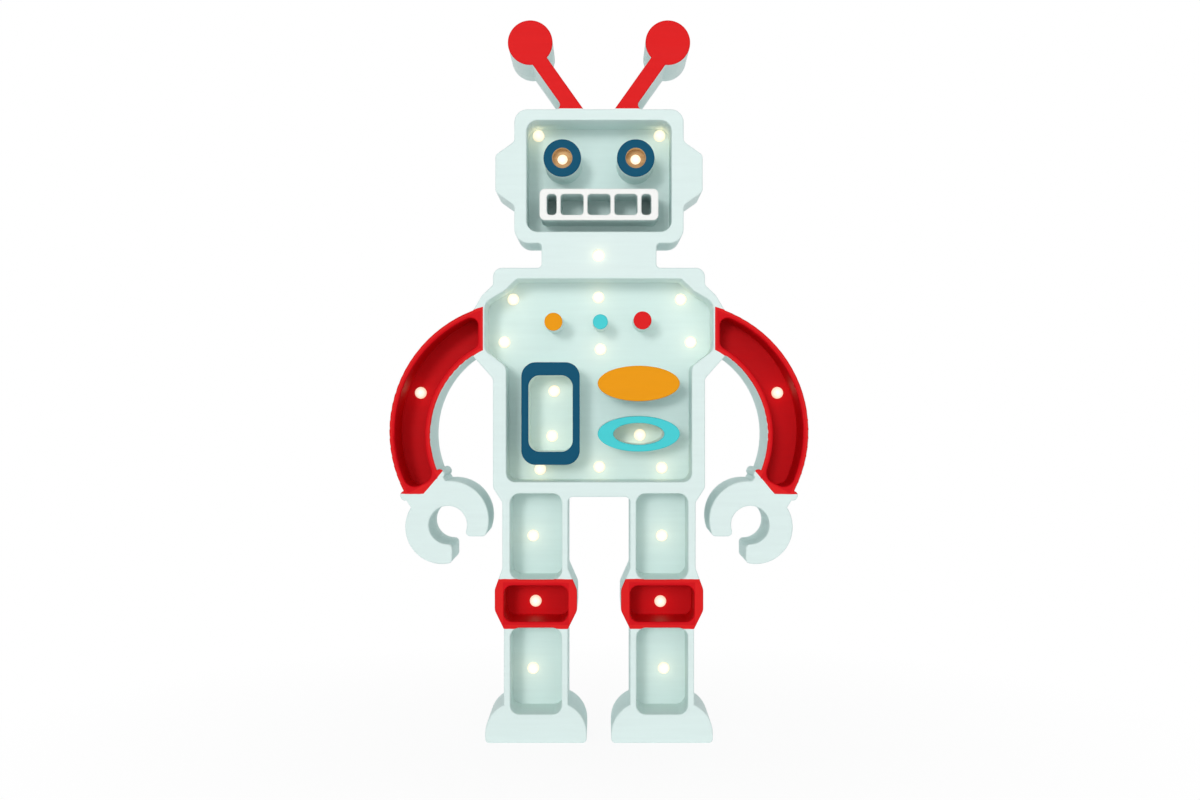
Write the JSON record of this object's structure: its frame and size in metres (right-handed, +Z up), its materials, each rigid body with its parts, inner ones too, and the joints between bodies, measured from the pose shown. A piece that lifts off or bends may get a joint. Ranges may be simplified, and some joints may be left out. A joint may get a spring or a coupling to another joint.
{
  "type": "robot shaped desk lamp",
  "caption": "Free standing night lamp in the shape of a robot, milled from layered painted timber, with deep lit windows, coloured pieces standing in them and a rocker switch at the back.",
  "frame": {"origin": "centre of the footprint, on the surface that the feet stand on", "axes": "+Z up, the lit front faces -Y, +X to the right as seen from the front"},
  "size_m": [0.2786, 0.056, 0.48],
  "materials": {
    "painted_timber_mint": "satin pale mint paint on pine, with red paint on the fronts of the antennas, arms and knees",
    "painted_timber_back": "satin pale mint paint on pine, red on the floors of the windows of the arms and knees",
    "painted_red": "satin red paint",
    "painted_blue": "satin petrol blue paint on the front, mint on the sides",
    "painted_yellow": "satin orange yellow paint on the front, mint on the sides",
    "painted_turquoise": "satin turquoise paint on the front, mint on the sides",
    "painted_white": "satin white paint on the front",
    "lens": "warm white diffused lens",
    "cover_board": "bare brown hardboard",
    "steel": "zinc plated",
    "black_plastic": "moulded black",
    "cable": "white flexible insulation",
    "board": "green solder mask",
    "resistor": "pale blue body",
    "terminal": "blue moulded",
    "brass": "bright"
  },
  "bodies": {
    "lamp": {"front_frame": "painted_timber_mint", "back_board": "painted_timber_back", "eye_left": "painted_blue", "eye_right": "painted_blue", "mouth_grille": "painted_white", "peg_yellow": "painted_yellow", "peg_turquoise": "painted_turquoise", "peg_red": "painted_red", "window_frame": "painted_blue", "oval_plate": "painted_yellow", "oval_ring": "painted_turquoise", "lights_head": "lens", "lights_eyes": "lens", "light_neck": "lens", "lights_torso": "lens", "lights_arms": "lens", "lights_legs": "lens", "light_tails": "cable", "cable_centre": "cable", "cables_head": "cable", "cables_shoulders": "cable", "cables_arms": "cable", "cables_legs": "cable", "cables_supply": "black_plastic", "driver_board": "board", "board_resistors": "resistor", "board_terminals": "terminal", "board_spacers": "black_plastic", "board_screws": "steel", "back_cover": "cover_board", "cover_screws": "steel", "inlet_body": "black_plastic", "inlet_pin": "steel", "inlet_nut": "steel", "inlet_contacts": "brass", "switch_housing": "black_plastic", "switch_terminals": "brass"},
    "rocker": {"switch_rocker": "black_plastic", "switch_plunger": "black_plastic", "switch_spring": "steel"},
    "contact_bar": {"switch_contact_bar": "brass"}
  },
  "joints": [
    {"name": "switch_rocker", "type": "hinge", "parent": "lamp", "child": "rocker", "pos_m": [-0.0419, 0.0242, 0.0125], "axis": [0, 0, 1], "range_deg": [0, 16]},
    {"name": "contact_bar", "type": "hinge", "parent": "lamp", "child": "contact_bar", "pos_m": [-0.0419, 0.0185, 0.0125], "axis": [0, 0, 1], "range_deg": [-9.6, 0]}
  ],
  "couplings": [
    {"joint": "contact_bar", "follows": "switch_rocker", "ratio": -0.6}
  ]
}
